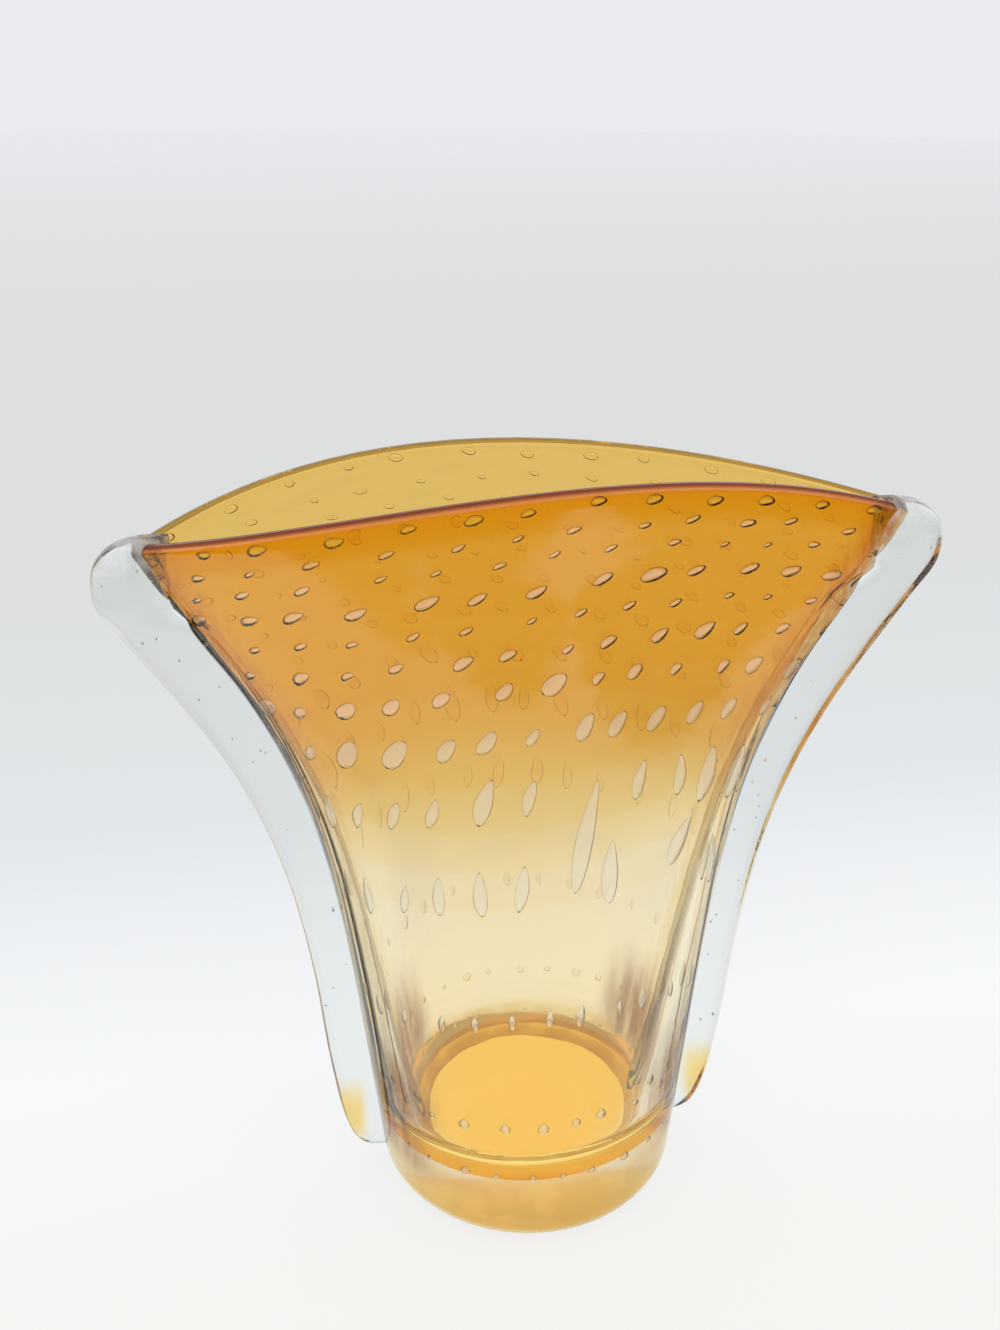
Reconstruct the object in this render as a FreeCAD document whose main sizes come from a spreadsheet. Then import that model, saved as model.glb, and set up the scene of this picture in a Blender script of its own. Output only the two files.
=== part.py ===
import FreeCAD, Part

import math
import os

import Sketcher
from FreeCAD import Vector

# A free-blown fan vase: an amber core cased in clear glass, with a clear trail laid up each side.
# X runs across the fan, Y from front to back, Z up. The origin is the middle of the resting face.

doc = FreeCAD.newDocument("FanVase")
sizes = doc.addObject("Spreadsheet::Sheet", "Sizes")

# Driving sizes in millimetres. The rim's width and drop are taken where the lip meets its two ends.
driving_sizes = (
    ("foot_radius", 45.0),
    ("heel_rounding", 7.0),
    ("heel_glass", 15.0),
    ("core_floor", 5.0),
    ("floor_rounding", 9.0),
    ("foot_casing_wall", 7.0),
    ("foot_core_wall", 3.5),
    ("rim_height", 227.0),
    ("rim_drop", 17.0),
    ("rim_half_width", 105.0),
    ("rim_casing_wall", 2.2),
    ("rim_core_wall", 1.6),
    ("lip_softening", 0.8),
    ("mouth_half_depth", 22.5),
    ("mouth_slit", 1.2),
    ("trail_thickness", 10.0),
    ("trail_reach", 18.5),
    ("trail_overlap", 6.0),
    ("trail_start", 6.5),
    ("trim_overrun", 14.0),
    ("lip_overrun", 4.0),
)
for row, (alias, value) in enumerate(driving_sizes, start=1):
    sizes.set(f"A{row}", alias)
    sizes.set(f"B{row}", str(value))
    sizes.setAlias(f"B{row}", alias)
doc.recompute()
size = {alias: float(sizes.get(alias)) for alias, value in driving_sizes}

# The levels of the blown form above the foot. Each has its height as a share of the rim's height, then
# its shares of spread (foot radius to rim half width), flatness (round foot to lens-shaped mouth),
# thinning of the walls, and reach of the trails.
level_shares = (
    (0.20, 0.088, 0.06, 0.36, 0.64),
    (0.34, 0.150, 0.15, 0.55, 0.62),
    (0.47, 0.226, 0.30, 0.68, 0.66),
    (0.57, 0.315, 0.46, 0.78, 0.74),
    (0.66, 0.437, 0.63, 0.86, 0.84),
    (0.74, 0.585, 0.775, 0.915, 0.95),
    (0.82, 0.772, 0.90, 0.955, 1.0),
    (0.90, 0.955, 0.98, 0.99, 0.80),
    (1.04, 1.225, 1.0, 1.0, 0.0),
)
# The lowest level of each solid: its height, then its shares of spread, flatness and thinning.
floor_expressions = ("0", "Sizes.heel_glass", "Sizes.heel_glass + Sizes.core_floor")
floor_heights = (0, size["heel_glass"], size["heel_glass"] + size["core_floor"])
floor_shares = ((0.0, 0.0, 0.0), (0.030, 0.015, 0.14), (0.040, 0.02, 0.18))
# A level halfway between two others, on the smooth curve through four: the weights of the two next to
# it and of the two beyond.
near_share, far_share = 9 / 16, 1 / 16
# Bands in the quarter turn between a flat floor and the wall above it.
rounding_bands = 5
# The highest level that the trails follow before they fold over the ends of the rim.
shoulder_share = 0.82
# How far the mouth's lens leans to its left end, as a share of its depth.
lean_share = 0.9
# Heights closer than this are the same height.
touching = 1e-4
# Points round each level: enough for the two tight ends of the lens.
round_points = 28

# The trail's toe: out from the foot, up from its start, and thickness, in shares of reach and thickness.
toe_shares = (
    (0.22, 0.0, 0.42),
    (0.40, 0.10, 0.72),
    (0.55, 0.28, 0.90),
    (0.69, 0.65, 1.0),
    (0.79, 1.12, 1.0),
)
# Its head, laid over the end of the rim: out and up from that end, and thickness.
head_shares = (
    (0.52, -0.90, 1.0),
    (0.58, -0.60, 1.0),
    (0.55, -0.30, 0.98),
    (0.42, -0.10, 0.90),
    (0.20, 0.05, 0.74),
    (-0.08, 0.13, 0.45),
)
# How deep the head is rooted in the body, as a share of the overlap lower down.
head_root_share = 1.6
# Squareness of the trail's section: 1 is an ellipse.
trail_section_share = 0.65
trail_points = 16


def blend(start, end, share):
    return start + (end - start) * share


def with_halfway_levels(rows):
    # The band with the rim in it stays whole, so that the rim's cut crosses no joint between bands.
    finished = []
    for number in range(len(rows) - 2):
        low, high, after = rows[number:number + 3]
        before = rows[number - 1] if number else [2 * near - far for near, far in zip(low, high)]
        finished.append(low)
        finished.append([near_share * (b + c) - far_share * (a + d)
                         for a, b, c, d in zip(before, low, high, after)])
    return finished + list(rows[-2:])


def level_form(height, height_expression, spread_share, flat_share, thin_share, reach_share=0):
    casing_wall = blend(size["foot_casing_wall"], size["rim_casing_wall"], thin_share)
    core_wall = blend(size["foot_core_wall"], size["rim_core_wall"], thin_share)
    foot_hollow = size["foot_radius"] - size["foot_casing_wall"] - size["foot_core_wall"]
    outer_half_width = blend(size["foot_radius"], size["rim_half_width"], spread_share)
    return {
        "height": height,
        "height_expression": height_expression,
        "outer_half_width": outer_half_width,
        "half_width": outer_half_width - casing_wall - core_wall,
        "half_depth": blend(foot_hollow, size["mouth_half_depth"], flat_share),
        "end_depth": blend(foot_hollow, size["mouth_slit"], flat_share),
        "core_wall": core_wall,
        "casing_wall": casing_wall,
        "reach": size["trail_reach"] * reach_share,
    }


foot_form, core_floor_form, hollow_floor_form = (
    level_form(height, expression, *shares)
    for height, expression, shares in zip(floor_heights, floor_expressions, floor_shares))
forms = [level_form(size["rim_height"] * row[0], f"Sizes.rim_height * {row[0]}", *row[1:])
         for row in with_halfway_levels(level_shares)]


def closed_quarters(points):
    # A smooth closed curve through evenly turned points, as four stretches.
    turns = [step / len(points) for step in range(len(points) + 1)]
    curve = Part.BSplineCurve()
    curve.interpolate(Points=points, PeriodicFlag=True, Parameters=turns)
    quarters = []
    for quarter in range(4):
        stretch = curve.copy()
        stretch.segment(quarter / 4, (quarter + 1) / 4)
        quarters.append(stretch)
    return quarters


def level_curves(form, wall):
    # The hollow is a lens that leans to the left, laid on an ellipse as deep as its two ends.
    # The wall lies outside it, square to the curve.
    points = []
    lens_depth = form["half_depth"] - form["end_depth"]
    for step in range(round_points):
        turn = 2 * math.pi * step / round_points
        across, along = math.sin(turn), math.cos(turn)
        lean = 1 - lean_share * along
        lens = across * abs(across) * lean
        lens_rate = 2 * abs(across) * along * lean + lean_share * abs(across) ** 3
        place = Vector(form["half_width"] * along, form["end_depth"] * across + lens_depth * lens, 0)
        run = Vector(-form["half_width"] * across, form["end_depth"] * along + lens_depth * lens_rate, 0)
        outward = Vector(run.y, -run.x, 0)
        outward.normalize()
        points.append(place + outward * wall)
    return closed_quarters(points)


def new_sketch(body, name, role):
    plane = next(feature for feature in body.Origin.OriginFeatures if feature.Role == role)
    sketch = body.newObject("Sketcher::SketchObject", name)
    sketch.AttachmentSupport = [(plane, "")]
    sketch.MapMode = "FlatFace"
    return sketch


def hold(sketch, kind, *places, size_expression=None):
    number = sketch.addConstraint(Sketcher.Constraint(kind, *places))
    if size_expression:
        sketch.setExpression(f"Constraints[{number}]", size_expression)
    return number


def lofted_body(name, sections):
    # Each section is its curves and the expression for its height.
    body = doc.addObject("PartDesign::Body", name)
    sketches = []
    for number, (curves, height_expression) in enumerate(sections):
        sketch = new_sketch(body, f"{name}Level{number}", "XY_Plane")
        sketch.addGeometry(curves, False)
        sketch.setExpression(".AttachmentOffset.Base.z", height_expression)
        sketches.append(sketch)
    loft = body.newObject("PartDesign::AdditiveLoft", f"{name}Loft")
    loft.Profile = sketches[0]
    loft.Sections = sketches[1:]
    loft.Ruled = True
    doc.recompute()
    return body


def rounded_floor(floor_form, radius, radius_expression):
    # Levels round the quarter turn, each drawn in from the wall, which is straight up to the first level.
    rows = []
    floor_expression = floor_form["height_expression"]
    for step in range(rounding_bands + 1):
        turn = math.pi / 2 * step / rounding_bands
        rise_share, inset_share = 1 - math.cos(turn), 1 - math.sin(turn)
        up_share = radius * rise_share / (forms[0]["height"] - floor_form["height"])
        form = {name: blend(floor_form[name], forms[0][name], up_share)
                for name in ("half_width", "half_depth", "end_depth", "core_wall", "casing_wall")}
        form["height_expression"] = f"{floor_expression} + ({radius_expression}) * {rise_share}"
        rows.append((form, radius * inset_share))
    return rows


def blown_body(name, floor_form, rounding, wall_of):
    radius = sum(size[alias] for alias in rounding)
    radius_expression = " + ".join(f"Sizes.{alias}" for alias in rounding)
    rows = rounded_floor(floor_form, radius, radius_expression) + [(form, 0) for form in forms]
    return lofted_body(name, [(level_curves(form, wall_of(form) - inset), form["height_expression"])
                              for form, inset in rows])


def trim_to_rim(body, raised_by=None):
    # What lies above the rim: an arc through the rim's middle and its two ends, closed over the top.
    top, top_expression = size["rim_height"], "Sizes.rim_height"
    if raised_by:
        top += size[raised_by]
        top_expression += f" + Sizes.{raised_by}"
    sketch = new_sketch(body, f"{body.Name}RimSketch", "XZ_Plane")
    half, drop = size["rim_half_width"], size["rim_drop"]
    radius = (half ** 2 + drop ** 2) / (2 * drop)
    side = half + 2 * size["trim_overrun"]
    cover = top + size["trim_overrun"]
    swing = math.asin(side / radius)
    circle = Part.Circle(Vector(0, top - radius, 0), Vector(0, 0, 1), radius)
    arc = Part.ArcOfCircle(circle, math.pi / 2 - swing, math.pi / 2 + swing)
    left_corner, right_corner = Vector(-side, cover, 0), Vector(side, cover, 0)
    sketch.addGeometry(arc, False)
    sketch.addGeometry(Part.LineSegment(arc.EndPoint, left_corner), False)
    sketch.addGeometry(Part.LineSegment(left_corner, right_corner), False)
    sketch.addGeometry(Part.LineSegment(right_corner, arc.StartPoint), False)
    sketch.addGeometry(Part.Point(Vector(0, top, 0)), True)
    sketch.addGeometry(Part.Point(Vector(half, top - drop, 0)), True)
    hold(sketch, "Coincident", 0, 2, 1, 1)
    hold(sketch, "Coincident", 1, 2, 2, 1)
    hold(sketch, "Coincident", 2, 2, 3, 1)
    hold(sketch, "Coincident", 3, 2, 0, 1)
    hold(sketch, "Vertical", 1)
    hold(sketch, "Horizontal", 2)
    hold(sketch, "Vertical", 3)
    hold(sketch, "PointOnObject", 0, 3, -2)
    hold(sketch, "PointOnObject", 4, 1, 0)
    hold(sketch, "PointOnObject", 4, 1, -2)
    hold(sketch, "PointOnObject", 5, 1, 0)
    side_expression = "Sizes.rim_half_width + 2 * Sizes.trim_overrun"
    hold(sketch, "DistanceY", -1, 1, 4, 1, top, size_expression=top_expression)
    hold(sketch, "DistanceX", -1, 1, 5, 1, half, size_expression="Sizes.rim_half_width")
    hold(sketch, "DistanceY", 5, 1, 4, 1, drop, size_expression="Sizes.rim_drop")
    hold(sketch, "DistanceX", -1, 1, 0, 1, side, size_expression=side_expression)
    hold(sketch, "DistanceX", 0, 2, -1, 1, side, size_expression=side_expression)
    hold(sketch, "DistanceY", 4, 1, 2, 1, cover - top, size_expression="Sizes.trim_overrun")
    pocket = body.newObject("PartDesign::Pocket", f"{body.Name}Rim")
    pocket.Profile = sketch
    pocket.Type = "ThroughAll"
    pocket.Midplane = True
    doc.recompute()
    return pocket


def soften_lip(body):
    trimmed = body.Tip
    lowest = size["rim_height"] - size["rim_drop"] - size["lip_overrun"]
    edges = [f"Edge{number}" for number, edge in enumerate(trimmed.Shape.Edges, start=1)
             if edge.BoundBox.ZMin > lowest]
    chamfer = body.newObject("PartDesign::Chamfer", f"{body.Name}Lip")
    chamfer.Base = (trimmed, edges)
    chamfer.setExpression("Size", "Sizes.lip_softening")
    doc.recompute()


def cut_piece(label, base, tool):
    piece = doc.addObject("Part::Cut", label)
    piece.Base = base
    piece.Tool = tool
    piece.Label = label
    piece.Placement = FreeCAD.Placement(Vector(0, 0, 0), FreeCAD.Rotation())
    doc.recompute()
    return piece


def trail_curves(root, tip, thickness):
    middle, half_length = (root + tip) / 2, (tip - root) / 2
    points = []
    for step in range(trail_points):
        turn = 2 * math.pi * step / trail_points
        along = math.copysign(abs(math.cos(turn)) ** trail_section_share, math.cos(turn))
        across = math.copysign(abs(math.sin(turn)) ** trail_section_share, math.sin(turn))
        points.append(Vector(middle + half_length * along, thickness / 2 * across, 0))
    return closed_quarters(points)


def trail_body(name, side):
    reach, thickness, overlap = size["trail_reach"], size["trail_thickness"], size["trail_overlap"]
    foot, rim = size["foot_radius"], size["rim_half_width"]
    rows = []
    for out, up, thick in toe_shares:
        rows.append((foot - overlap, foot + reach * out, thickness * thick,
                     f"Sizes.trail_start + Sizes.trail_reach * {up}"))
    shoulder = size["rim_height"] * shoulder_share
    for form in (form for form in forms if form["height"] < shoulder + touching):
        rows.append((form["outer_half_width"] - overlap, form["outer_half_width"] + form["reach"], thickness,
                     form["height_expression"]))
    for out, up, thick in head_shares:
        rows.append((rim - overlap * head_root_share, rim + reach * out, thickness * thick,
                     f"Sizes.rim_height - Sizes.rim_drop + Sizes.trail_reach * {up}"))
    return lofted_body(name, [(trail_curves(side * root, side * tip, thick), height)
                              for root, tip, thick, height in rows])


# The whole gather stands on its rounded heel. Its lip is softened as a fire-polished lip is.
gather = blown_body("Gather", foot_form, ["heel_rounding"],
                    lambda form: form["core_wall"] + form["casing_wall"])
trim_to_rim(gather)
soften_lip(gather)

# The core is the amber glass with its hollow still filled.
core = blown_body("Core", core_floor_form, ["floor_rounding", "foot_core_wall"],
                  lambda form: form["core_wall"])
trim_to_rim(core)

# The hollow runs past the lip, so that it opens the mouth right through.
hollow = blown_body("Hollow", hollow_floor_form, ["floor_rounding"], lambda form: 0)
trim_to_rim(hollow, "lip_overrun")

pieces = [
    cut_piece("clear_casing", gather, core),
    cut_piece("amber_core", core, hollow),
    cut_piece("left_trail", trail_body("LeftTrail", -1), gather),
    cut_piece("right_trail", trail_body("RightTrail", 1), gather),
]

for item in doc.Objects:
    if "Invalid" in item.State or "Error" in item.State:
        raise RuntimeError(f"{item.Label} failed: {item.getStatusString()}")
for piece in pieces:
    if piece.Shape.isNull() or not piece.Shape.isValid() or len(piece.Shape.Solids) != 1:
        raise RuntimeError(f"{piece.Label} is not one valid solid")

os.makedirs("parts", exist_ok=True)
for piece in pieces:
    piece.Shape.exportStep(f"parts/{piece.Label}.step")
    print(f"{piece.Label}: {round(piece.Shape.Volume)} mm3")
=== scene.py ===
import math
import random

import bmesh
import bpy
from mathutils import Matrix, Vector, noise


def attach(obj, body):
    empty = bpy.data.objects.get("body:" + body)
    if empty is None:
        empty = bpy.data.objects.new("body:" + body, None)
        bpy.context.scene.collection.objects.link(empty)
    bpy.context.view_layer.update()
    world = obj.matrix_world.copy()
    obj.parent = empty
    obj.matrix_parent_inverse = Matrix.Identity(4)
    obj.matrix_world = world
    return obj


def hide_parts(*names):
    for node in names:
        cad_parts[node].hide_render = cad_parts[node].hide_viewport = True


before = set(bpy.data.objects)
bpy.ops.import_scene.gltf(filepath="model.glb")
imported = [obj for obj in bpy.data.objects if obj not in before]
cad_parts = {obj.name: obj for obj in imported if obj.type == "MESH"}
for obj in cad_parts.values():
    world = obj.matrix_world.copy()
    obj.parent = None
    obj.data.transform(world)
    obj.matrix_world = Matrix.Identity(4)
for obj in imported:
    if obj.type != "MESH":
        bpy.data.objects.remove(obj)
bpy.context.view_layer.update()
scene = bpy.context.scene
mm = 0.001


def blend(start, end, share):
    return start + (end - start) * share


def easeIn(value, low, high):
    share = min(max((value - low) / (high - low), 0), 1)
    return share * share * (3 - 2 * share)


class Wire:
    # a socket that can be added, multiplied and so on; each sum is a Math node
    def __init__(self, tree, socket):
        self.tree, self.socket = tree, socket

    def maths(self, operation, *values):
        return self.tree.add("ShaderNodeMath", {"operation": operation}, dict(enumerate(values)))

    def __add__(self, other):
        return self.maths("ADD", self, other)

    def __sub__(self, other):
        return self.maths("SUBTRACT", self, other)

    def __rsub__(self, other):
        return self.maths("SUBTRACT", other, self)

    def __mul__(self, other):
        return self.maths("MULTIPLY", self, other)

    def __truediv__(self, other):
        return self.maths("DIVIDE", self, other)

    def __lt__(self, other):
        return self.maths("LESS_THAN", self, other)

    def most(self, other):
        return self.maths("MAXIMUM", self, other)

    def size(self):
        return self.maths("ABSOLUTE", self)


class Tree:
    def __init__(self, owner):
        owner.use_nodes = True
        self.nodes, self.links = owner.node_tree.nodes, owner.node_tree.links
        self.nodes.clear()

    def add(self, kind, settings=None, inputs=None, output=0):
        node = self.nodes.new(kind)
        for name, value in (settings or {}).items():
            if name == "stops":
                ramp = node.color_ramp
                while len(ramp.elements) < len(value):
                    ramp.elements.new(1)
                for element, (at, colour) in zip(ramp.elements, value):
                    element.position, element.color = at, (*colour, 1)
            else:
                setattr(node, name, value)
        for name, value in (inputs or {}).items():
            if isinstance(value, Wire):
                self.links.new(value.socket, node.inputs[name])
            else:
                socket = node.inputs[name]
                socket.default_value = (*value, 1) if socket.type == "RGBA" and len(value) == 3 else value
        return Wire(self, node.outputs[output])

    def span(self, value, low, high):
        # 0 at low, 1 at high, smooth between
        return self.add("ShaderNodeMapRange", {"interpolation_type": "SMOOTHSTEP"},
                        {"Value": value, "From Min": low, "From Max": high})

    def mix(self, share, first, second):
        return self.add("ShaderNodeMix", {"data_type": "RGBA"}, {0: share, 6: first, 7: second}, 2)

    def times(self, first, second):
        return self.add("ShaderNodeMix", {"data_type": "RGBA", "blend_type": "MULTIPLY"},
                        {0: 1, 6: first, 7: second}, 2)

    def spot(self):
        # the object coordinates, in metres
        return self.add("ShaderNodeTexCoord", {}, {}, "Object")

    def mottle(self, spot, scale, detail=3):
        return self.add("ShaderNodeTexNoise", {}, {"Vector": spot, "Scale": scale, "Detail": detail})

    def rays(self, *kinds):
        # for each kind, 1 for the light of that kind and 0 for other light
        node = self.add("ShaderNodeLightPath").socket.node
        return [Wire(self, node.outputs[f"Is {kind} Ray"]) for kind in kinds]

    def end(self, shader, kind="ShaderNodeOutputMaterial"):
        node = self.nodes.new(kind)
        self.links.new(shader.socket, node.inputs["Surface"])


def newTree(name):
    material = bpy.data.materials.new(name)
    return material, Tree(material)


def place(tree):
    # the three parts of the object coordinates, in metres
    split = tree.add("ShaderNodeSeparateXYZ", {}, {0: tree.spot()})
    return [Wire(tree, split.socket.node.outputs[part]) for part in "XYZ"]


def finishMesh(shell, name, materials, node):
    mesh = bpy.data.meshes.new(name)
    shell.to_mesh(mesh)
    shell.free()
    for material in materials:
        mesh.materials.append(material)
    mesh.polygons.foreach_set("use_smooth", [True] * len(mesh.polygons))
    piece = bpy.data.objects.new(name, mesh)
    scene.collection.objects.link(piece)
    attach(piece, "root")
    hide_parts(node)


blown = {
    "height": 227 * mm,
    "rimDrop": 17 * mm,  # from the rim's middle to its ends
    "rimHalfWidth": 105 * mm,
    "footRadius": 45 * mm,
    "footWalls": (7 * mm, 3.5 * mm),  # casing, core
    "rimWalls": (2.2 * mm, 1.6 * mm),
    "mouthHalfDepth": 22.5 * mm,
    "mouthSlit": 1.2 * mm,
    "lean": 0.9,  # how far the mouth's lens leans to its left end
    "trailReach": 18.5 * mm,
    # shares: height, spread, flatness, thinning of the walls, reach of the trails
    "levels": (
        (0, 0, 0, 0, 0.5),
        (0.20, 0.088, 0.06, 0.36, 0.64),
        (0.34, 0.150, 0.15, 0.55, 0.62),
        (0.47, 0.226, 0.30, 0.68, 0.66),
        (0.57, 0.315, 0.46, 0.78, 0.74),
        (0.66, 0.437, 0.63, 0.86, 0.84),
        (0.74, 0.585, 0.775, 0.915, 0.95),
        (0.82, 0.772, 0.90, 0.955, 1.0),
        (0.90, 0.955, 0.98, 0.99, 0.80),
        (1.04, 1.225, 1.0, 1.0, 0.0),
    ),
    "fineLevels": 480,  # steps between the levels, worked out once
    "archFrom": 0.3,  # of the height, where the rings begin to bend towards the rim's arch
    "sides": 144,
    "rings": 84,
    "crowding": 0.97,  # how much the sides crowd at the lens's two tight ends
    "heelRounding": 7 * mm,
    "coreBottom": 15 * mm,
    "hollowBottom": 20 * mm,
    "floorRounding": 9 * mm,
    "roundingSteps": 7,
    # between the two fused faces, under the floor and as a share of the casing's wall
    "jointGap": 0.04 * mm,
    "wallGap": 0.02,
    "footUpTo": 0.01 * mm,  # faces below this are the ground foot
}


def through(levels, height, column):
    # a smooth curve through the levels
    last = len(levels) - 2
    number = next((n for n in range(last + 1) if height <= levels[n + 1][0]), last)

    def slope(n):
        low, high = levels[max(n - 1, 0)], levels[min(n + 1, len(levels) - 1)]
        return (high[column] - low[column]) / (high[0] - low[0])

    low, high = levels[number], levels[number + 1]
    run = high[0] - low[0]
    share = (height - low[0]) / run
    square, cube = share ** 2, share ** 3
    return ((2 * cube - 3 * square + 1) * low[column] + (cube - 2 * square + share) * run * slope(number)
            + (3 * square - 2 * cube) * high[column] + (cube - square) * run * slope(number + 1))


topLevel = blown["levels"][-1][0]
formTable = []
for step in range(blown["fineLevels"] + 1):
    share = step / blown["fineLevels"] * topLevel
    spread, flat, thin, reach = (through(blown["levels"], share, column) for column in (1, 2, 3, 4))
    casingWall, coreWall = (blend(foot, rim, thin) for foot, rim in zip(blown["footWalls"], blown["rimWalls"]))
    footHollow = blown["footRadius"] - sum(blown["footWalls"])
    halfWidth = blend(blown["footRadius"], blown["rimHalfWidth"], spread)
    formTable.append((halfWidth - casingWall - coreWall, blend(footHollow, blown["mouthHalfDepth"], flat),
                      blend(footHollow, blown["mouthSlit"], flat), casingWall, coreWall, flat,
                      blown["trailReach"] * reach))


def formAt(height):
    # half width, half depth, half depth at the ends, casing's wall, core's wall, flatness, reach of the trails
    steps = blown["fineLevels"]
    at = min(max(height / blown["height"] / topLevel * steps, 0), steps - 0.001)
    low, high = formTable[int(at)], formTable[int(at) + 1]
    return [blend(a, b, at - int(at)) for a, b in zip(low, high)]


def rimAt(across):
    # height of the rim's arch, part of a circle
    half, drop = blown["rimHalfWidth"], blown["rimDrop"]
    radius = (half ** 2 + drop ** 2) / (2 * drop)
    return blown["height"] - radius + math.sqrt(radius ** 2 - across ** 2)


def lensPoint(form, turn, wall):
    # a point of the hollow's lens, and out from it by the wall, square to the curve
    halfWidth, halfDepth, endDepth = form[:3]
    across, along = math.sin(turn), math.cos(turn)
    lean = 1 - blown["lean"] * along
    lens = across * abs(across) * lean
    lensRate = 2 * abs(across) * along * lean + blown["lean"] * abs(across) ** 3
    run = Vector((-halfWidth * across, endDepth * along + (halfDepth - endDepth) * lensRate))
    out = Vector((run.y, -run.x)).normalized()
    return Vector((halfWidth * along, endDepth * across + (halfDepth - endDepth) * lens)) + out * wall


def wallPoint(level, turn, wallShares, inset=0):
    # level is the height before the rim's arch pulls it down; wallShares are of the casing and the core
    pull = easeIn(level / blown["height"], blown["archFrom"], 1)
    height = level
    for attempt in range(3):  # the height and the place across settle together
        form = formAt(height)
        wall = form[3] * wallShares[0] + form[4] * wallShares[1] - inset
        point = lensPoint(form, turn, wall)
        height = level - pull * (blown["height"] - rimAt(point.x))
    return Vector((point.x, point.y, height))


def turnAt(side, level):
    # evenly turned points, crowded towards the two ends where the form is flat
    turn = 2 * math.pi * side / blown["sides"]
    crowding = blown["crowding"] * formAt(level)[5]
    return turn - crowding / 2 * math.sin(2 * turn)


def placeRing(shell, ring, level, wallShares, inset=0, lift=0):
    belowRim, towardsSide = (shell.verts.layers.float[name] for name in ("belowRim", "towardsSide"))
    for side, vert in enumerate(ring):
        turn = turnAt(side, level)
        vert.co = wallPoint(level, turn, wallShares, inset)
        vert.co.z += lift
        vert[belowRim] = blown["height"] - level - lift
        vert[towardsSide] = abs(math.cos(turn))


def edgesOf(shell, ring):
    return [shell.edges.get((ring[n - 1], ring[n])) for n in range(len(ring))]


def nextRing(shell, ring):
    # extrudes the open ring and gives the new one in the same order
    made = bmesh.ops.extrude_edge_only(shell, edges=edgesOf(shell, ring))["geom"]
    fresh = {vert for vert in made if isinstance(vert, bmesh.types.BMVert)}
    return [next(edge.other_vert(vert) for edge in vert.link_edges if edge.other_vert(vert) in fresh)
            for vert in ring]


def firstRing(shell, sides=blown["sides"]):
    made = bmesh.ops.create_circle(shell, cap_ends=True, segments=sides, radius=1)
    return list(made["verts"])


def wallUp(shell, ring, bottom, rounding, wallShares):
    # up from a flat floor, round its edge and on to the lip
    steps = blown["roundingSteps"]
    rows = []
    for step in range(steps + 1):
        turn = math.pi / 2 * step / steps
        rows.append((bottom + rounding * (1 - math.cos(turn)), rounding * (1 - math.sin(turn))))
    start = bottom + rounding
    for step in range(1, blown["rings"] + 1):
        rows.append((blend(start, blown["height"] - lip["rise"], step / blown["rings"]), 0))
    placeRing(shell, ring, rows[0][0], wallShares, rows[0][1])
    for level, inset in rows[1:]:
        ring = nextRing(shell, ring)
        placeRing(shell, ring, level, wallShares, inset)
    return ring


lip = {"rise": 1.9 * mm, "steps": 5}  # the fire-polished half round on top of the two walls


def lipRound(shell, ring, fromShares, toShares):
    # a quarter round from one face of the wall to the middle of its top
    level = blown["height"] - lip["rise"]
    for step in range(1, lip["steps"] + 1):
        turn = math.pi / 2 * step / lip["steps"]
        shares = [blend(middle, side, math.cos(turn)) for side, middle in zip(fromShares, toShares)]
        ring = nextRing(shell, ring)
        placeRing(shell, ring, level, shares, lift=lip["rise"] * math.sin(turn))
    return ring


def joinRings(shell, first, second):
    bmesh.ops.bridge_loops(shell, edges=edgesOf(shell, first) + edgesOf(shell, second))


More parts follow.
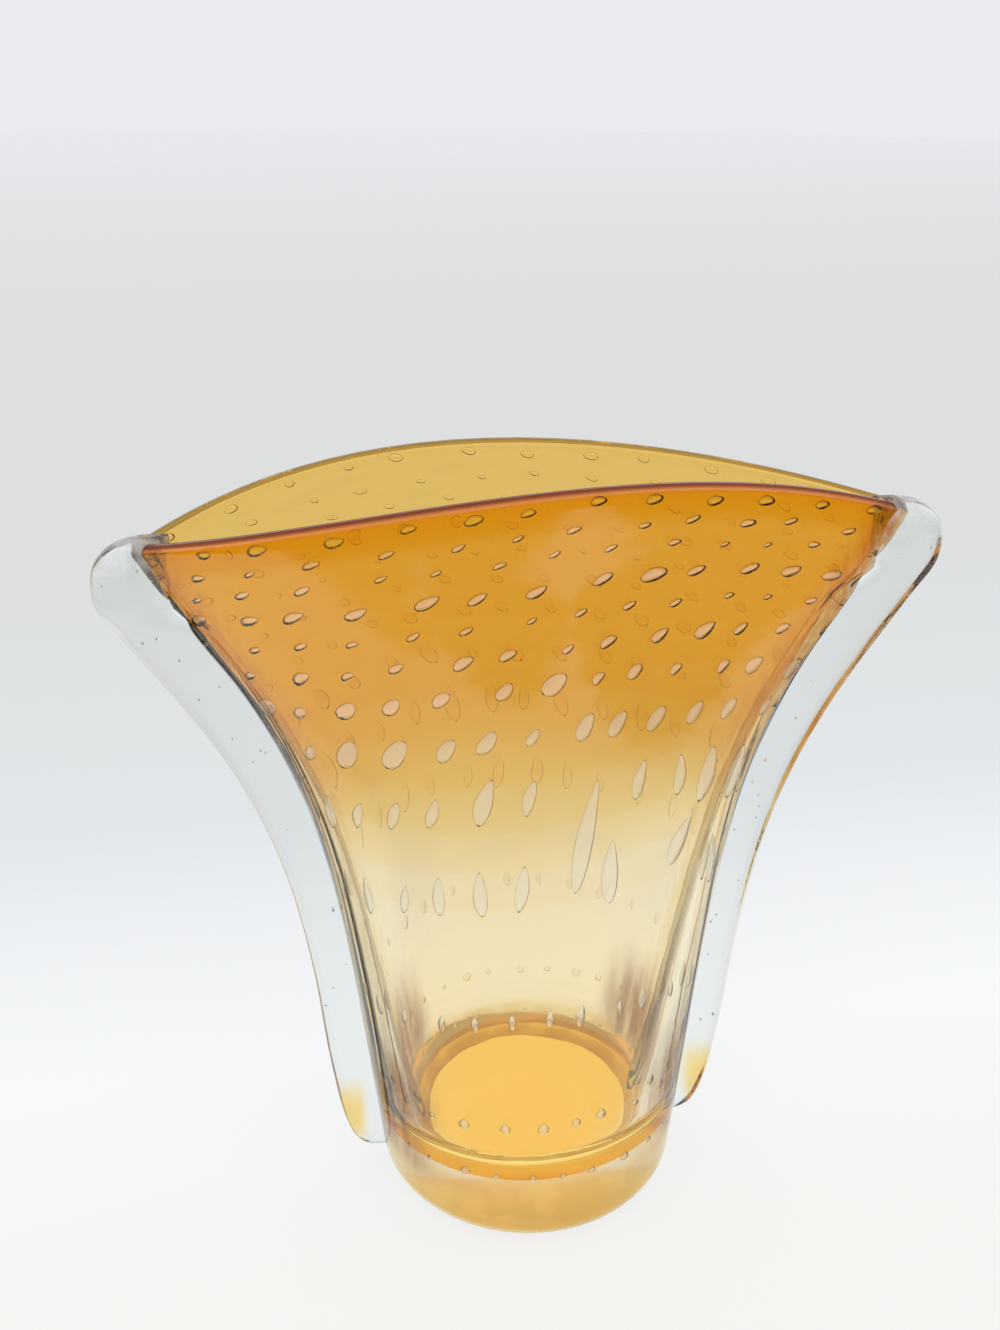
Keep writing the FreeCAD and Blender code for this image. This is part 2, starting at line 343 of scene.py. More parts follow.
glass = {
    "clear": (0.995, 1.0, 0.997),
    "roughness": 0.0,
    "bending": 1.5,
    # what the amber lets through where it meets the casing, up the wall and under the floor
    "fusedLow": (1.0, 0.945, 0.81),
    "fusedHigh": (1.0, 0.80, 0.42),
    "fusedBetween": (0.105, 0.180),  # metres up
    "fusedBands": 7,
    "fusedFloor": (1.0, 0.71, 0.16),
    "floorColourTo": {"front": 1.5 * mm, "rest": 4 * mm},  # up from the floor's underside
    "fusedStep": (1.0, 0.82, 0.34),  # above it at the front, where the floor's side is looked through twice
    "stepColourTo": 11 * mm,
    "frontBefore": -10 * mm,
    # height in metres, colour let through by one wall
    "amber": ((0, (1.0, 0.90, 0.64)), (0.0225, (1.0, 0.87, 0.56)), (0.0265, (1.0, 0.91, 0.68)),
              (0.042, (1.0, 0.92, 0.70)), (0.066, (1.0, 0.93, 0.73)), (0.095, (1.0, 0.94, 0.78)),
              (0.119, (0.99, 0.88, 0.65)), (0.137, (0.93, 0.71, 0.32)), (0.152, (0.93, 0.63, 0.19)),
              (0.170, (0.97, 0.65, 0.19)), (0.180, (0.975, 0.655, 0.19)), (0.227, (1.0, 0.67, 0.19))),
    # metres below the crest; painted light and shade for the light that runs up inside the wall and out at the lip
    "frontLip": {
        "casing": ((0, (0.34, 0.09, 0.05)), (0.0005, (0.42, 0.11, 0.05)), (0.0010, (1.0, 0.50, 0.22)),
                   (0.0026, (0.90, 0.76, 0.12)), (0.0075, (0.90, 0.80, 0.16)), (0.0115, (1, 1, 1))),
        "core": ((0, (0.26, 0.07, 0.04)), (0.0016, (0.34, 0.10, 0.05)), (0.0030, (1.0, 0.80, 0.30)),
                 (0.0110, (1, 1, 1))),
    },
    "backLip": {
        "casing": ((0, (0.13, 0.11, 0.07)), (0.0009, (0.22, 0.19, 0.11)), (0.0018, (1, 1, 1)), (0.0110, (1, 1, 1))),
        "core": ((0, (0.62, 0.56, 0.36)), (0.0005, (1.0, 0.97, 0.80)), (0.0024, (1.0, 0.97, 0.84)),
                 (0.0040, (1, 1, 1)), (0.0110, (1, 1, 1))),
    },
    "lipTurn": (-2 * mm, 2 * mm),  # from the front lip's tint to the back lip's
    "lipSheen": 0.6,
    "sheenBelow": (1.7 * mm, 0.6 * mm),  # below the crest, none and all of it
    # painted brown lights caught low down in the wall's two turns
    "paintedSideLightColour": (0.30, 0.14, 0.09),
    "warmTurn": (0.66, 0.90),  # towards the trails, none and all of it
    "warmTop": (0.062, 0.034),  # metres up, none and all of it
    "warmStart": {"casing": 0.010, "core": 0.023},  # metres up
    "warmRise": 0.010,
    # noise scale across and up, its values for the least and the most, the least share
    "warmStreaks": (230, 34, 0.32, 0.60, 0.45),
    "edgeStreaks": (420, 60, 0.35, 0.60, 0.40),
    # the amber's edge seen along the trails, by height in metres
    "edge": ((0.02, (0.78, 0.62, 0.32)), (0.10, (0.80, 0.64, 0.34)), (0.16, (0.78, 0.50, 0.30)),
             (0.22, (0.68, 0.38, 0.20))),
    "edgeTurn": (0.90, 0.985),
    "edgeRise": (0.015, 0.035),
    # painted gold lights in the heel, darker near the ground, and the paler patches between them, by height in
    # metres
    "heel": ((0, (0.44, 0.20, 0.01)), (0.0035, (0.48, 0.26, 0.02)), (0.0060, (0.58, 0.50, 0.17)),
             (0.012, (0.60, 0.56, 0.24)), (0.019, (0.76, 0.58, 0.30)), (0.028, (1, 1, 1))),
    "heelPale": ((0, (0.58, 0.36, 0.05)), (0.004, (0.66, 0.47, 0.10)), (0.009, (0.76, 0.66, 0.34)),
                 (0.019, (0.84, 0.74, 0.46)), (0.028, (0.95, 0.92, 0.85))),
    "heelPatches": 62,  # noise scale
    "heelContrast": (0.38, 0.58),
    "heelTop": (0.020, 0.028),
    "foot": (0.94, 0.91, 0.80),
    "footThrough": 0.82,
    "footRoughness": 0.12,
    # colour and strength of the painted glow of the ground underside
    "footLight": (0.90, 0.84, 0.56),
    "footPaintedGlow": 0.25,  # the paper's light that the ground face scatters
    # the unevenness of a blown face: noise scale, depth, strength, more on the floor of the hollow
    "waveScale": 52,
    "waveDepth": 1.5 * mm,
    "waves": 0.07,
    "floorWaves": 0.5,
    "floorWavesBelow": (0.036, 0.024),  # metres up, none and all of it
}


def blownWaves(tree, more=0):
    swell = tree.mottle(tree.spot(), glass["waveScale"], 2)
    return tree.add("ShaderNodeBump", {}, {
        "Strength": more + glass["waves"], "Distance": glass["waveDepth"], "Height": swell})


def floorWaves(tree):
    return blownWaves(tree, tree.span(place(tree)[2], *glass["floorWavesBelow"]) * glass["floorWaves"])


def glassMaterial(name, colour, sheen=0, bending=glass["bending"], waves=None):
    # colour, sheen and waves can each be a function that wires them up
    material, tree = newTree(name)
    colour, sheen = (part(tree) if callable(part) else part for part in (colour, sheen))
    values = {"Transmission Weight": 1, "IOR": bending, "Roughness": glass["roughness"], "Metallic": sheen,
              "Base Color": colour}
    if waves:
        values["Normal"] = waves(tree)
    tree.end(tree.add("ShaderNodeBsdfPrincipled", {}, values))
    return material


def ramp(tree, rows, value):
    first, last = rows[0][0], rows[-1][0]
    stops = [((at - first) / (last - first), colour) for at, colour in rows]
    return tree.add("ShaderNodeValToRGB", {"stops": stops}, {0: (value - first) / (last - first)})


def worn(tree, name):
    # a number that the mesh carries
    return tree.add("ShaderNodeAttribute", {"attribute_name": name}, {}, "Fac")


# painted light and shade along the lip, different at the front and the back
def paintedLipLightAndShade(tree, piece):
    y = place(tree)[1]
    below = worn(tree, "belowRim")
    return tree.mix(tree.span(y, *glass["lipTurn"]), ramp(tree, glass["frontLip"][piece], below),
                    ramp(tree, glass["backLip"][piece], below))


def lipSheen(tree):
    # the lip's crest catches the sky more than the light inside it
    return tree.span(worn(tree, "belowRim"), *glass["sheenBelow"]) * glass["lipSheen"]


def fusedShare(height):
    low, high = glass["fusedBetween"]
    return min(max((height - low) / (high - low), 0), 1)


def fusedAt(share):
    return [blend(low, high, share) for low, high in zip(glass["fusedLow"], glass["fusedHigh"])]


def streaks(tree, kind):
    # fine across, long up the wall
    across, up, low, high, least = glass[kind]
    drawn = tree.add("ShaderNodeMapping", {}, {"Vector": tree.spot(), "Scale": (across, across, up)})
    return tree.span(tree.mottle(drawn, 1), low, high) * (1 - least) + least


# painted brown lights, streaked, low down in the wall's two turns
def paintedSideLights(tree, z, piece):
    start = glass["warmStart"][piece]
    share = (tree.span(worn(tree, "towardsSide"), *glass["warmTurn"]) * tree.span(z, *glass["warmTop"])
             * tree.span(z, start, start + glass["warmRise"]) * streaks(tree, "warmStreaks"))
    return tree.mix(share, (1, 1, 1), glass["paintedSideLightColour"])


def amberByHeight(tree):
    # the inner face takes all the tint that the fused face leaves; a face tints by the root of its colour
    z = place(tree)[2]
    rows = [(height, [min(part / share, 1) ** 2 for part, share in zip(colour, fusedAt(fusedShare(height)))])
            for height, colour in glass["amber"]]
    return tree.times(tree.times(ramp(tree, rows, z), paintedSideLights(tree, z, "core")), paintedLipLightAndShade(tree, "core"))


# painted gold light and shade in the clear heel, fading out above it
def paintedHeelLight(tree, z):
    patches = tree.span(tree.mottle(tree.spot(), glass["heelPatches"]), *glass["heelContrast"])
    heel = tree.mix(patches, ramp(tree, glass["heelPale"], z), ramp(tree, glass["heel"], z))
    return tree.mix(tree.span(z, *glass["heelTop"]), heel, (1, 1, 1))


def clearOutside(tree):
    z = place(tree)[2]
    edge = (tree.span(worn(tree, "towardsSide"), *glass["edgeTurn"]) * tree.span(z, *glass["edgeRise"])
            * streaks(tree, "edgeStreaks"))
    wall = tree.mix(edge, glass["clear"], ramp(tree, glass["edge"], z))
    wall = tree.times(paintedSideLights(tree, z, "casing"), wall)
    return tree.times(tree.times(wall, paintedHeelLight(tree, z)), paintedLipLightAndShade(tree, "casing"))


def hiddenFace(name):
    # where two glasses are fused there is no face to see
    material, tree = newTree(name)
    tree.end(tree.add("ShaderNodeBsdfPrincipled", {}, {"Base Color": glass["clear"], "Alpha": 0}))
    return material


def fusedAmber(name, colour):
    material, tree = newTree(name)
    tree.end(tree.add("ShaderNodeBsdfTransparent", {}, {"Color": colour}))
    return material


def groundFoot(name):
    # the flat underside, ground and worn, lets the paper through and has a painted glow for the light it scatters
    material, tree = newTree(name)
    tree.end(tree.add("ShaderNodeBsdfPrincipled", {}, {
        "Base Color": glass["foot"], "Transmission Weight": glass["footThrough"], "IOR": glass["bending"],
        "Roughness": glass["footRoughness"], "Emission Color": glass["footLight"],
        "Emission Strength": glass["footPaintedGlow"]}))
    return material


clearGlass = glassMaterial("clearGlass", clearOutside, lipSheen, waves=blownWaves)
amberGlass = glassMaterial("amberGlass", amberByHeight, lipSheen, waves=floorWaves)
amberBands = [fusedAmber(f"amberFused{band}", fusedAt(band / (glass["fusedBands"] - 1)))
              for band in range(glass["fusedBands"])]
amberFloor = fusedAmber("amberFloor", glass["fusedFloor"])
amberStep = fusedAmber("amberStep", glass["fusedStep"])
fusedFace = hiddenFace("fusedFace")
footFace = groundFoot("footFace")
# the bubbles' faces: colour, sheen, bending
bubbleFace = glassMaterial("bubbleFace", (1.0, 0.93, 0.82), 0.15, 1.40)
paleBubbleFace = glassMaterial("paleBubbleFace", (0.94, 0.93, 0.89), 0.16, 1.18)  # thin ones, low down
farBubbleFace = glassMaterial("farBubbleFace", (1.0, 0.99, 0.97), 0.05, 1.28)  # back wall, seen through the front
openBubbleFace = glassMaterial("openBubbleFace", (1.0, 1.0, 1.0), 0.0, 1.45)  # back wall, seen over the front lip
print("glass mixed")


bubbles = {
    "columns": 26,
    "start": 0.3,  # columns
    "drift": -0.29,  # how far each row is turned from the one above, in columns
    "seed": 7,
    "cover": 0.25 * mm,  # glass between a bubble and the core
    "feelers": (0.002, 0.1 * mm),  # small steps round and up the wall that give its directions
    # level, length, width and thickness in mm, tilt in degrees, droop towards the fan's two sides in mm
    "rows": (
        (223.0, 5.0, 2.7, 1.2, 8, 0), (216.5, 4.6, 2.1, 1.0, 14, 0), (210.4, 4.2, 1.9, 0.9, 14, 0),
        (202.4, 6.0, 2.8, 1.0, 17, 0), (194.5, 4.2, 2.1, 0.9, 19, 1), (185.8, 5.2, 2.9, 0.8, 27, 2),
        (176.0, 5.8, 3.8, 0.5, 38, 5), (162.0, 7.2, 4.0, 0.36, 56, 4), (145.5, 12.5, 4.4, 0.3, 80, 9),
        (118.5, 12.5, 3.4, 0.3, 88, 9), (76.0, 6.5, 2.4, 0.4, 90, 6), (39.5, 3.6, 2.9, 0.8, 90, 0),
        (21.0, 2.5, 2.2, 0.8, 90, 0),
    ),
    # how unevenly they lie, in columns, mm and degrees
    "unevenTurn": 0.14,
    "unevenLevel": 0.7,
    "unevenTilt": 7,
    "growths": (0.75, 0.85, 0.95, 1, 1.05, 1.15, 1.4),
    "topRowGrowth": 1.1,  # the most, under the lip
    "tapers": (0.0, 0.3),
    "bends": (-0.10, 0.14),
    "steep": 60,  # degrees of tilt above which they run out to points
    "pointed": 0.35,
    "backThinner": 0.5,  # the bubbles of the back wall are flatter
    "backSmaller": 0.75,
    "paleBelow": 167 * mm,
    "backFaintBelow": 206 * mm,
    # the drawn-out ones: level in mm and turn, then length, width and thickness in mm and tilt
    "strays": ((131.0, -1.43, 33.0, 5.4, 0.34, 77), (119.0, -1.29, 19.0, 5.2, 0.34, 86),
               (122.0, -0.86, 15.0, 5.6, 0.34, 60)),
    "strayCover": 0.8 * mm,
    "strayShape": (0.25, 0.12, 0.25),  # taper, bend, how pointed
    "strayRoom": 4 * mm,  # kept free of the others
    "facets": 8,
    "rings": 6,
    "strayRings": 12,
    "corners": (0.27, 0.35),  # how much wider and thinner the rim is between the length and the width
}


def turnsAlong(level):
    # turns that divide the way round the form at this level evenly, column by column
    fine = 240
    turns = [2 * math.pi * step / fine - math.pi for step in range(fine + 1)]
    points = [wallPoint(level, turn, (0, 1)) for turn in turns]
    way = [0]
    for before, after in zip(points, points[1:]):
        way.append(way[-1] + (after - before).length)

    def turnOf(share):
        wanted = share % 1 * way[-1]
        number = next(n for n in range(1, fine + 1) if way[n] >= wanted)
        return blend(turns[number - 1], turns[number], (wanted - way[number - 1]) / (way[number] - way[number - 1]))
    return turnOf


def dropFrame(level, turn, outward, lean):
    # the place of a drop in the wall, with its thickness square to the wall and its tip leant from level
    spot = wallPoint(level, turn, (0, 1), outward)
    aside, above = bubbles["feelers"]
    right = (wallPoint(level, turn + aside, (0, 1), outward) - spot).normalized()
    up = (wallPoint(level + above, turn, (0, 1), outward) - spot).normalized()
    out = right.cross(up).normalized()
    up = out.cross(right)
    tip = right * math.cos(lean) + up * math.sin(lean)
    placed = Matrix((out.cross(tip), out, tip)).transposed().to_4x4()
    placed.translation = spot
    return placed


def addDrop(air, mesh, placed, size, shape, rings=bubbles["rings"]):
    # size is length, width and thickness; shape is taper, bend and how pointed the tips are
    length, width, thick = size
    taper, bend, pointed = shape
    wider, thinner = bubbles["corners"]
    drop = bmesh.new()
    bmesh.ops.create_uvsphere(drop, u_segments=bubbles["facets"], v_segments=rings, radius=1)
    for vert in drop.verts:
        # broad faces nearly flat to a narrow rim
        corner = 4 * (vert.co.x * vert.co.y) ** 2 / max(1 - vert.co.z ** 2, 0.001) ** 2
        narrow = 1 - taper * vert.co.z - pointed * vert.co.z ** 2
        vert.co.x *= (1 + wider * corner) * narrow * width / 2
        vert.co.x += bend * (1 - vert.co.z ** 2) * width
        vert.co.y *= (1 - thinner * corner) * thick / 2
        vert.co.z *= length / 2
    drop.transform(placed)
    drop.to_mesh(mesh)
    drop.free()
    air.from_mesh(mesh)


def crowded(spot, room, strays):
    for middle, tip, half in strays:
        way = spot - middle
        along = min(max(way.dot(tip), -half), half)
        if (way - tip * along).length < room:
            return True
    return False


def makeBubbles():
    # flat drops of air trapped in the casing over the core, in rows that wind a little, and a few drawn-out ones
    chance = random.Random(bubbles["seed"])

    def either(most):
        return chance.uniform(-most, most)

    air = bmesh.new()
    mesh = bpy.data.meshes.new("air")
    strays = []
    for level, turn, length, width, thick, tilt in bubbles["strays"]:
        placed = dropFrame(level * mm, turn, -bubbles["strayCover"] - thick / 2 * mm, math.radians(tilt))
        addDrop(air, mesh, placed, (length * mm, width * mm, thick * mm), bubbles["strayShape"],
                bubbles["strayRings"])
        strays.append((placed.translation, placed.col[2].to_3d(), length / 2 * mm))
    for number, (level, length, width, thick, tilt, droop) in enumerate(bubbles["rows"]):
        turnOf = turnsAlong(level * mm)
        for column in range(bubbles["columns"]):
            turn = turnOf((column + bubbles["start"] + bubbles["drift"] * number + either(bubbles["unevenTurn"]))
                          / bubbles["columns"])
            at = (level - droop * math.cos(turn) ** 2 + either(bubbles["unevenLevel"])) * mm
            growth = chance.choice(bubbles["growths"])
            growth = min(growth, bubbles["topRowGrowth"]) if number == 0 else growth
            flatness = 1
            if turn > 0:  # on the back wall
                growth *= bubbles["backSmaller"]
                flatness = bubbles["backThinner"]
            placed = dropFrame(at, turn, -(bubbles["cover"] + thick / 2 * mm),
                               math.radians(tilt + either(bubbles["unevenTilt"])))
            taper, bend = chance.uniform(*bubbles["tapers"]), chance.uniform(*bubbles["bends"])
            pointed = bubbles["pointed"] if tilt > bubbles["steep"] else 0
            if not crowded(placed.translation, length / 2 * growth * mm + bubbles["strayRoom"], strays):
                addDrop(air, mesh, placed, (length * growth * mm, width * growth * mm, thick * flatness * mm),
                        (taper, bend / growth, pointed))
    # glass lies outside the air, so the faces turn to the air
    bmesh.ops.reverse_faces(air, faces=list(air.faces))
    air.to_mesh(mesh)
    air.free()
    return mesh


def newWall():
    shell = bmesh.new()
    shell.verts.layers.float.new("belowRim")  # metres down the wall from the crest of the lip
    shell.verts.layers.float.new("towardsSide")  # 0 in the middle of the front and back, 1 at the trails
    return shell


def bubbleFaceAt(spot):
    if spot.y > 0:
        return farBubbleFace if spot.z < bubbles["backFaintBelow"] else openBubbleFace
    return paleBubbleFace if spot.z < bubbles["paleBelow"] else bubbleFace


def makeCasing():
    # outside, over the lip, and down the face that the core is fused to
    shell = newWall()
    ring = firstRing(shell)
    ring = wallUp(shell, ring, 0, blown["heelRounding"], (1, 1))
    outside = lipRound(shell, ring, (1, 1), (0.5, 0.5))
    outer = set(shell.faces)
    ring = firstRing(shell)
    ring = wallUp(shell, ring, blown["coreBottom"] - blown["jointGap"],
                  blown["floorRounding"] + blown["footWalls"][1], (blown["wallGap"], 1))
    joinRings(shell, outside, ring)
    bmesh.ops.recalc_face_normals(shell, faces=list(shell.faces))
    walls = set(shell.faces)
    shell.from_mesh(makeBubbles())
    slots = [clearGlass, fusedFace, bubbleFace, farBubbleFace, footFace, paleBubbleFace, openBubbleFace]
    for face in shell.faces:
        if face not in walls:
            glazing = bubbleFaceAt(face.calc_center_median())
        elif max(vert.co.z for vert in face.verts) < blown["footUpTo"]:
            glazing = footFace
        else:
            glazing = clearGlass if face in outer else fusedFace
        face.material_index = slots.index(glazing)
    finishMesh(shell, "clearCasing", slots, "clear_casing")


def fusedAmberAt(spot):
    up = spot.z - blown["coreBottom"]
    front = spot.y < glass["frontBefore"]
    if up < glass["floorColourTo"]["front" if front else "rest"]:
        return amberFloor
    if front and up < glass["stepColourTo"]:
        return amberStep
    return amberBands[round(fusedShare(spot.z) * (glass["fusedBands"] - 1))]


def makeCore():
    # outside, where it is fused to the casing, then the hollow, over the lip
    shell = newWall()
    ring = firstRing(shell)
    outside = wallUp(shell, ring, blown["coreBottom"], blown["floorRounding"] + blown["footWalls"][1], (0, 1))
    fused = set(shell.faces)
    ring = firstRing(shell)
    ring = wallUp(shell, ring, blown["hollowBottom"], blown["floorRounding"], (0, 0))
    inside = lipRound(shell, ring, (0, 0), (0.5, 0.5))
    joinRings(shell, outside, inside)
    bmesh.ops.recalc_face_normals(shell, faces=list(shell.faces))
    slots = [amberGlass, amberFloor, amberStep, *amberBands]
    for face in fused:
        face.material_index = slots.index(fusedAmberAt(face.calc_center_median()))
    finishMesh(shell, "amberCore", slots, "amber_core")


makeCasing()
makeCore()
print("core and casing blown")


trail = {
    "thickness": 10 * mm,
    "overlap": 6 * mm,
    "start": 6.5 * mm,
    "squareness": 0.42,  # 1 is an ellipse
    "points": 56,
    "step": 2 * mm,  # up the bar
    "crumple": 0.7 * mm,  # of the heads
    "crumpleFrom": 196 * mm,
    "crumpleTo": 0.212,  # metres up
    "wave": 0.12 * mm,  # of the rest
    "rippleWidth": 7 * mm,
    "clear": (0.89, 0.915, 0.905),
    "toeGold": (0.96, 0.72, 0.25),
    # metres, none and all of the gold: down from above, up from below, out from the foot
    "goldAbove": (0.034, 0.024),
    "goldBelow": (0.009, 0.014),
    "goldOut": (0.005, 0.009),
    "paintedEdgeGold": (0.52, 0.42, 0.17),
    "edgeFrom": (0.90, 0.985),
    "mottles": (140, 420),  # noise scale, broad and fine
    "mottleShares": (0.6, 0.4),
    "bump": 0.02,
    "headBump": 0.5,
    "bumpDepth": 1 * mm,
    # the crizzled heads
    "frostTo": 0.214,  # metres up
    "headRoughness": 0.12,
    "frost": (0.93, 0.94, 0.93),
    "frostRoughness": 0.3,
    "frostThrough": 0.4,
    "frostPatches": (0.35, 0.62),
    "frostShare": 0.75,
    # tiny bubbles in each
    "seeds": 16,
    "seedChance": 11,
    "seedFacets": (6, 4),  # round and up
    "seedsUp": 0.7,  # under 1, more of them sit high
    "seedRadii": (0.15, 0.5),  # mm
    "seedStretch": (1, 1.8),
    "seedInset": 2 * mm,  # from the root
    "seedsAcross": (0.35, 0.88),  # from the root to the outer edge
    "seedsDeep": 2,  # mm to either side of the middle
    "shoulder": 0.82,
    "headRoot": 1.6,
    # out from the foot, up from the start, thickness
    "toe": ((0.22, 0.0, 0.42), (0.40, 0.10, 0.72), (0.55, 0.28, 0.90), (0.69, 0.65, 1.0), (0.79, 1.12, 1.0)),
    # out and up from the end of the rim, thickness
    "head": ((0.52, -0.90, 1.0), (0.58, -0.60, 1.0), (0.55, -0.30, 0.98), (0.42, -0.10, 0.90),
             (0.20, 0.05, 0.74), (-0.08, 0.13, 0.45)),
}


def trailRows():
    # height, root, tip and thickness of each level
    reach, foot, rim = blown["trailReach"], blown["footRadius"], blown["rimHalfWidth"]
    rows = []
    for out, up, thick in trail["toe"]:
        rows.append((trail["start"] + reach * up, foot - trail["overlap"], foot + reach * out,
                     trail["thickness"] * thick))
    for share in [level[0] for level in blown["levels"][1:] if level[0] <= trail["shoulder"]]:
        form = formAt(share * blown["height"])
        outer = form[0] + form[3] + form[4]
        rows.append((share * blown["height"], outer - trail["overlap"], outer + form[6], trail["thickness"]))
    for out, up, thick in trail["head"]:
        rows.append((blown["height"] - blown["rimDrop"] + reach * up, rim - trail["overlap"] * trail["headRoot"],
                     rim + reach * out, trail["thickness"] * thick))
    return rows


def trailGlass():
    # clear and smooth, with crizzled heads, a little gold low in the toes and a painted gold line of light and
    # shade along the outer edge
    material, tree = newTree("trailGlass")
    x, y, z = place(tree)
    head = tree.span(z, trail["crumpleFrom"], trail["frostTo"])
    near, far = (blown["footRadius"] + out for out in trail["goldOut"])
    toe = tree.span(z, *trail["goldAbove"]) * tree.span(z, *trail["goldBelow"]) * tree.span(x.size(), near, far)
    spot = tree.spot()
    broad, fine = (tree.mottle(spot, scale) for scale in trail["mottles"])
    broadShare, fineShare = trail["mottleShares"]
    bump = tree.add("ShaderNodeBump", {}, {
        "Strength": head * trail["headBump"] + trail["bump"], "Distance": trail["bumpDepth"],
        "Height": broad * broadShare + fine * fineShare})
    body = tree.mix(toe, trail["clear"], trail["toeGold"])
    # a painted gold line of light and shade along the bar's outer edge
    edge = tree.span(worn(tree, "towardsTip"), *trail["edgeFrom"])
    bar = tree.add("ShaderNodeBsdfPrincipled", {}, {
        "Transmission Weight": 1, "IOR": glass["bending"], "Roughness": head * trail["headRoughness"],
        "Base Color": tree.mix(edge, body, trail["paintedEdgeGold"]), "Normal": bump})
    frost = tree.add("ShaderNodeBsdfPrincipled", {}, {
        "Base Color": trail["frost"], "Roughness": trail["frostRoughness"],
        "Transmission Weight": trail["frostThrough"], "Normal": bump})
    share = head * tree.span(broad, *trail["frostPatches"]) * trail["frostShare"]
    tree.end(tree.add("ShaderNodeMixShader", {}, {0: share, 1: bar, 2: frost}))
    return material


def addSeeds(shell, rows, side):
    # tiny bubbles between toe and head, their faces turned to the air in them
    chance = random.Random(trail["seedChance"] + side)
    mesh = bpy.data.meshes.new("seed")
    low, high = rows[len(trail["toe"]) - 1][0], rows[-3][0]
    for number in range(trail["seeds"]):
        height = blend(low, high, chance.random() ** trail["seedsUp"])
        root, tip = through(rows, height, 1) + trail["seedInset"], through(rows, height, 2)
        seed = bmesh.new()
        radius = chance.uniform(*trail["seedRadii"]) * mm
        around, upwards = trail["seedFacets"]
        bmesh.ops.create_uvsphere(seed, u_segments=around, v_segments=upwards, radius=radius)
        bmesh.ops.scale(seed, vec=(1, 1, chance.uniform(*trail["seedStretch"])), verts=list(seed.verts))
        out = side * blend(root, tip, chance.uniform(*trail["seedsAcross"]))
        deep = chance.uniform(-trail["seedsDeep"], trail["seedsDeep"]) * mm
        bmesh.ops.translate(seed, vec=(out, deep, height), verts=list(seed.verts))
        bmesh.ops.reverse_faces(seed, faces=list(seed.faces))
        seed.to_mesh(mesh)
        seed.free()
        shell.from_mesh(mesh)


def makeTrail(name, node, side):
    rows = trailRows()
    shell = bmesh.new()
    towardsTip = shell.verts.layers.float.new("towardsTip")  # -1 at the root in the body, 1 at the outer edge
    ring = firstRing(shell, trail["points"])
    heights = []
    for low, high in zip(rows, rows[1:]):
        steps = max(2, round((high[0] - low[0]) / trail["step"]))
        heights += [blend(low[0], high[0], step / steps) for step in range(steps)]
    heights.append(rows[-1][0])
    for number, height in enumerate(heights):
        if number:
            ring = nextRing(shell, ring)
        root, tip, thick = (through(rows, height, column) for column in (1, 2, 3))
        middle, half = (root + tip) / 2, (tip - root) / 2
        dent = blend(trail["wave"], trail["crumple"], easeIn(height, trail["crumpleFrom"], trail["crumpleTo"]))
        for step, vert in enumerate(ring):
            turn = 2 * math.pi * step / len(ring)
            along, across = (math.copysign(abs(part) ** trail["squareness"], part)
                             for part in (math.cos(turn), math.sin(turn)))
            vert.co = (side * (middle + half * along), thick / 2 * across, height)
            vert[towardsTip] = along
            spot = vert.co / trail["rippleWidth"]
            vert.co.y += dent * noise.noise(spot)
            vert.co.x -= side * dent * abs(noise.noise(spot.zxy))
    bmesh.ops.contextual_create(shell, geom=edgesOf(shell, ring))
    bmesh.ops.recalc_face_normals(shell, faces=list(shell.faces))
    addSeeds(shell, rows, side)
    finishMesh(shell, name, [barGlass], node)


barGlass = trailGlass()
makeTrail("leftTrail", "left_trail", -1)
makeTrail("rightTrail", "right_trail", 1)
print("trails laid")


studio = {
    # the paper's colour by the distance behind the foot, in metres, with painted fall-off of the light: brightest
    # just behind the foot, greyer further back
    "paper": ((-0.6, (0.92, 0.92, 0.90)), (-0.04, (0.93, 0.93, 0.91)), (0.05, (0.94, 0.96, 0.97)),
              (0.13, (0.87, 0.89, 0.91)), (0.22, (0.775, 0.80, 0.82)), (0.50, (0.725, 0.745, 0.74)),
              (1.5, (0.745, 0.745, 0.75)), (3.4, (0.80, 0.81, 0.84))),
    "paperRadius": 4,
    "paperSides": 96,
    "paperOwnLight": 0.86,
    "drop": 0.15 * mm,  # the paper lies this much under the foot
    "sky": (0.82, 0.83, 0.86),
    "highSky": (0.72, 0.63, 0.52),
    "highFrom": (0.25, 0.55),  # how steeply up, none and all of it
    "light": 1.0,
    # beyond the paper's front and right edges, in metres, seen in mirror reflections only
    "room": (0.03, 0.03, 0.03),
    "roomFront": 0.585,
    "roomSlant": 0.9,  # nearer on the left
    "frontSoft": 0.03,
    "roomRight": 0.41,
    "rightSoft": 0.015,
    "rightBefore": -0.2,
}


def seenStraight(tree):
    # 1 for what the camera, a reflection or the glass sees, 0 for light that falls on things
    camera, glossy, through = tree.rays("Camera", "Glossy", "Transmission")
    return camera.most(glossy).most(through)


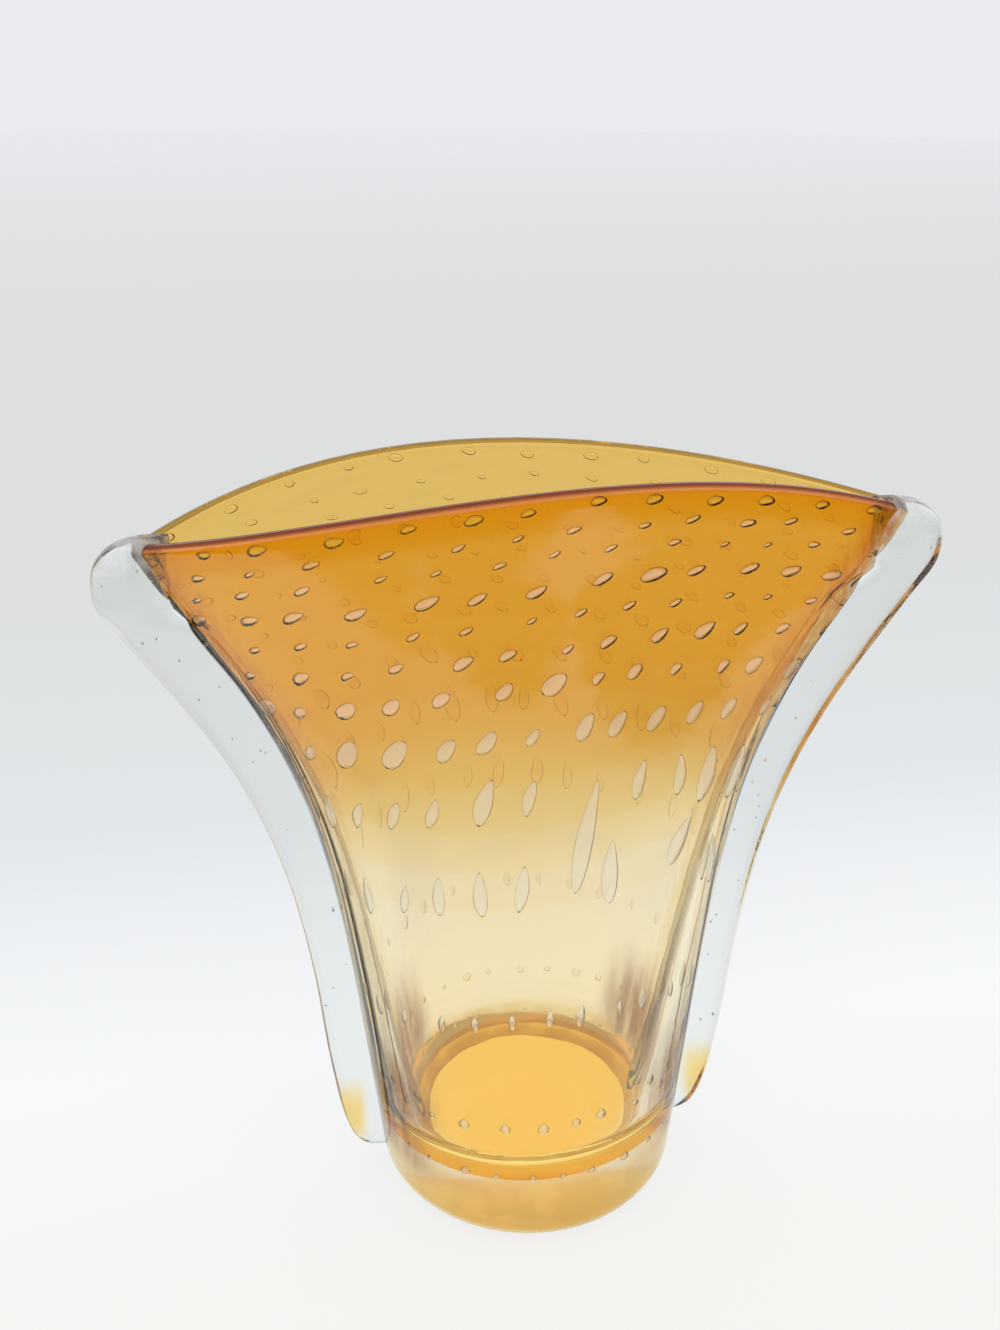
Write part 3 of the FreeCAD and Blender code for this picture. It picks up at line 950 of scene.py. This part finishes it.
def makeFloor():
    shell = bmesh.new()
    bmesh.ops.create_circle(shell, cap_ends=True, segments=studio["paperSides"],
                             radius=studio["paperRadius"])
    bmesh.ops.translate(shell, vec=(0, 0, -studio["drop"]), verts=list(shell.verts))
    mesh = bpy.data.meshes.new("floor")
    shell.to_mesh(mesh)
    shell.free()
    floor = bpy.data.objects.new("floor", mesh)
    scene.collection.objects.link(floor)
    material, tree = newTree("paper")
    x, y, z = place(tree)
    # painted fall-off of the light across the paper
    colour = ramp(tree, studio["paper"], y)
    left = (0.0 - x).most(0)
    edge, soft = studio["roomFront"], studio["frontSoft"]
    front = tree.span(0.0 - y + left * studio["roomSlant"], edge - soft, edge + soft)
    edge, soft = studio["roomRight"], studio["rightSoft"]
    right = tree.span(x, edge - soft, edge + soft) * (y < studio["rightBefore"])
    glossy, through = tree.rays("Glossy", "Transmission")
    mirrored = glossy * (1.0 - through)  # glass marks the rays that it bends as both
    colour = tree.mix(front.most(right) * mirrored, colour, studio["room"])
    paper = tree.add("ShaderNodeBsdfDiffuse", {}, {"Color": colour})
    glow = tree.add("ShaderNodeEmission", {}, {"Color": colour})
    share = seenStraight(tree) * studio["paperOwnLight"]
    tree.end(tree.add("ShaderNodeMixShader", {}, {0: share, 1: paper, 2: glow}))
    mesh.materials.append(material)


def makeWorld():
    world = bpy.data.worlds.new("studio")
    scene.world = world
    tree = Tree(world)
    direction = tree.add("ShaderNodeTexCoord", {}, {}, "Generated")
    up = tree.add("ShaderNodeSeparateXYZ", {}, {0: direction}, "Z")
    seen = tree.mix(tree.span(up, *studio["highFrom"]), studio["sky"], studio["highSky"])
    seen = tree.mix(tree.rays("Camera")[0], seen, studio["sky"])
    colour = tree.mix(seenStraight(tree), (studio["light"],) * 3, seen)
    tree.end(tree.add("ShaderNodeBackground", {}, {"Color": colour}), "ShaderNodeOutputWorld")


camera = {
    "place": (-0.0743, -0.3580, 0.3367),
    "turn": (65.350, -0.291, -10.147),
    "lens": 39.25,
    "sensor": 36,
    "nearest": 0.01,
}


def makeCamera():
    data = bpy.data.cameras.new("camera")
    data.lens, data.sensor_width, data.sensor_fit = camera["lens"], camera["sensor"], "AUTO"
    data.clip_start = camera["nearest"]
    tripod = bpy.data.objects.new("camera", data)
    tripod.location = camera["place"]
    tripod.rotation_euler = [math.radians(angle) for angle in camera["turn"]]
    scene.collection.objects.link(tripod)
    scene.camera = tripod


makeFloor()
makeWorld()
makeCamera()
scene.view_settings.view_transform = "Standard"
print("studio set")
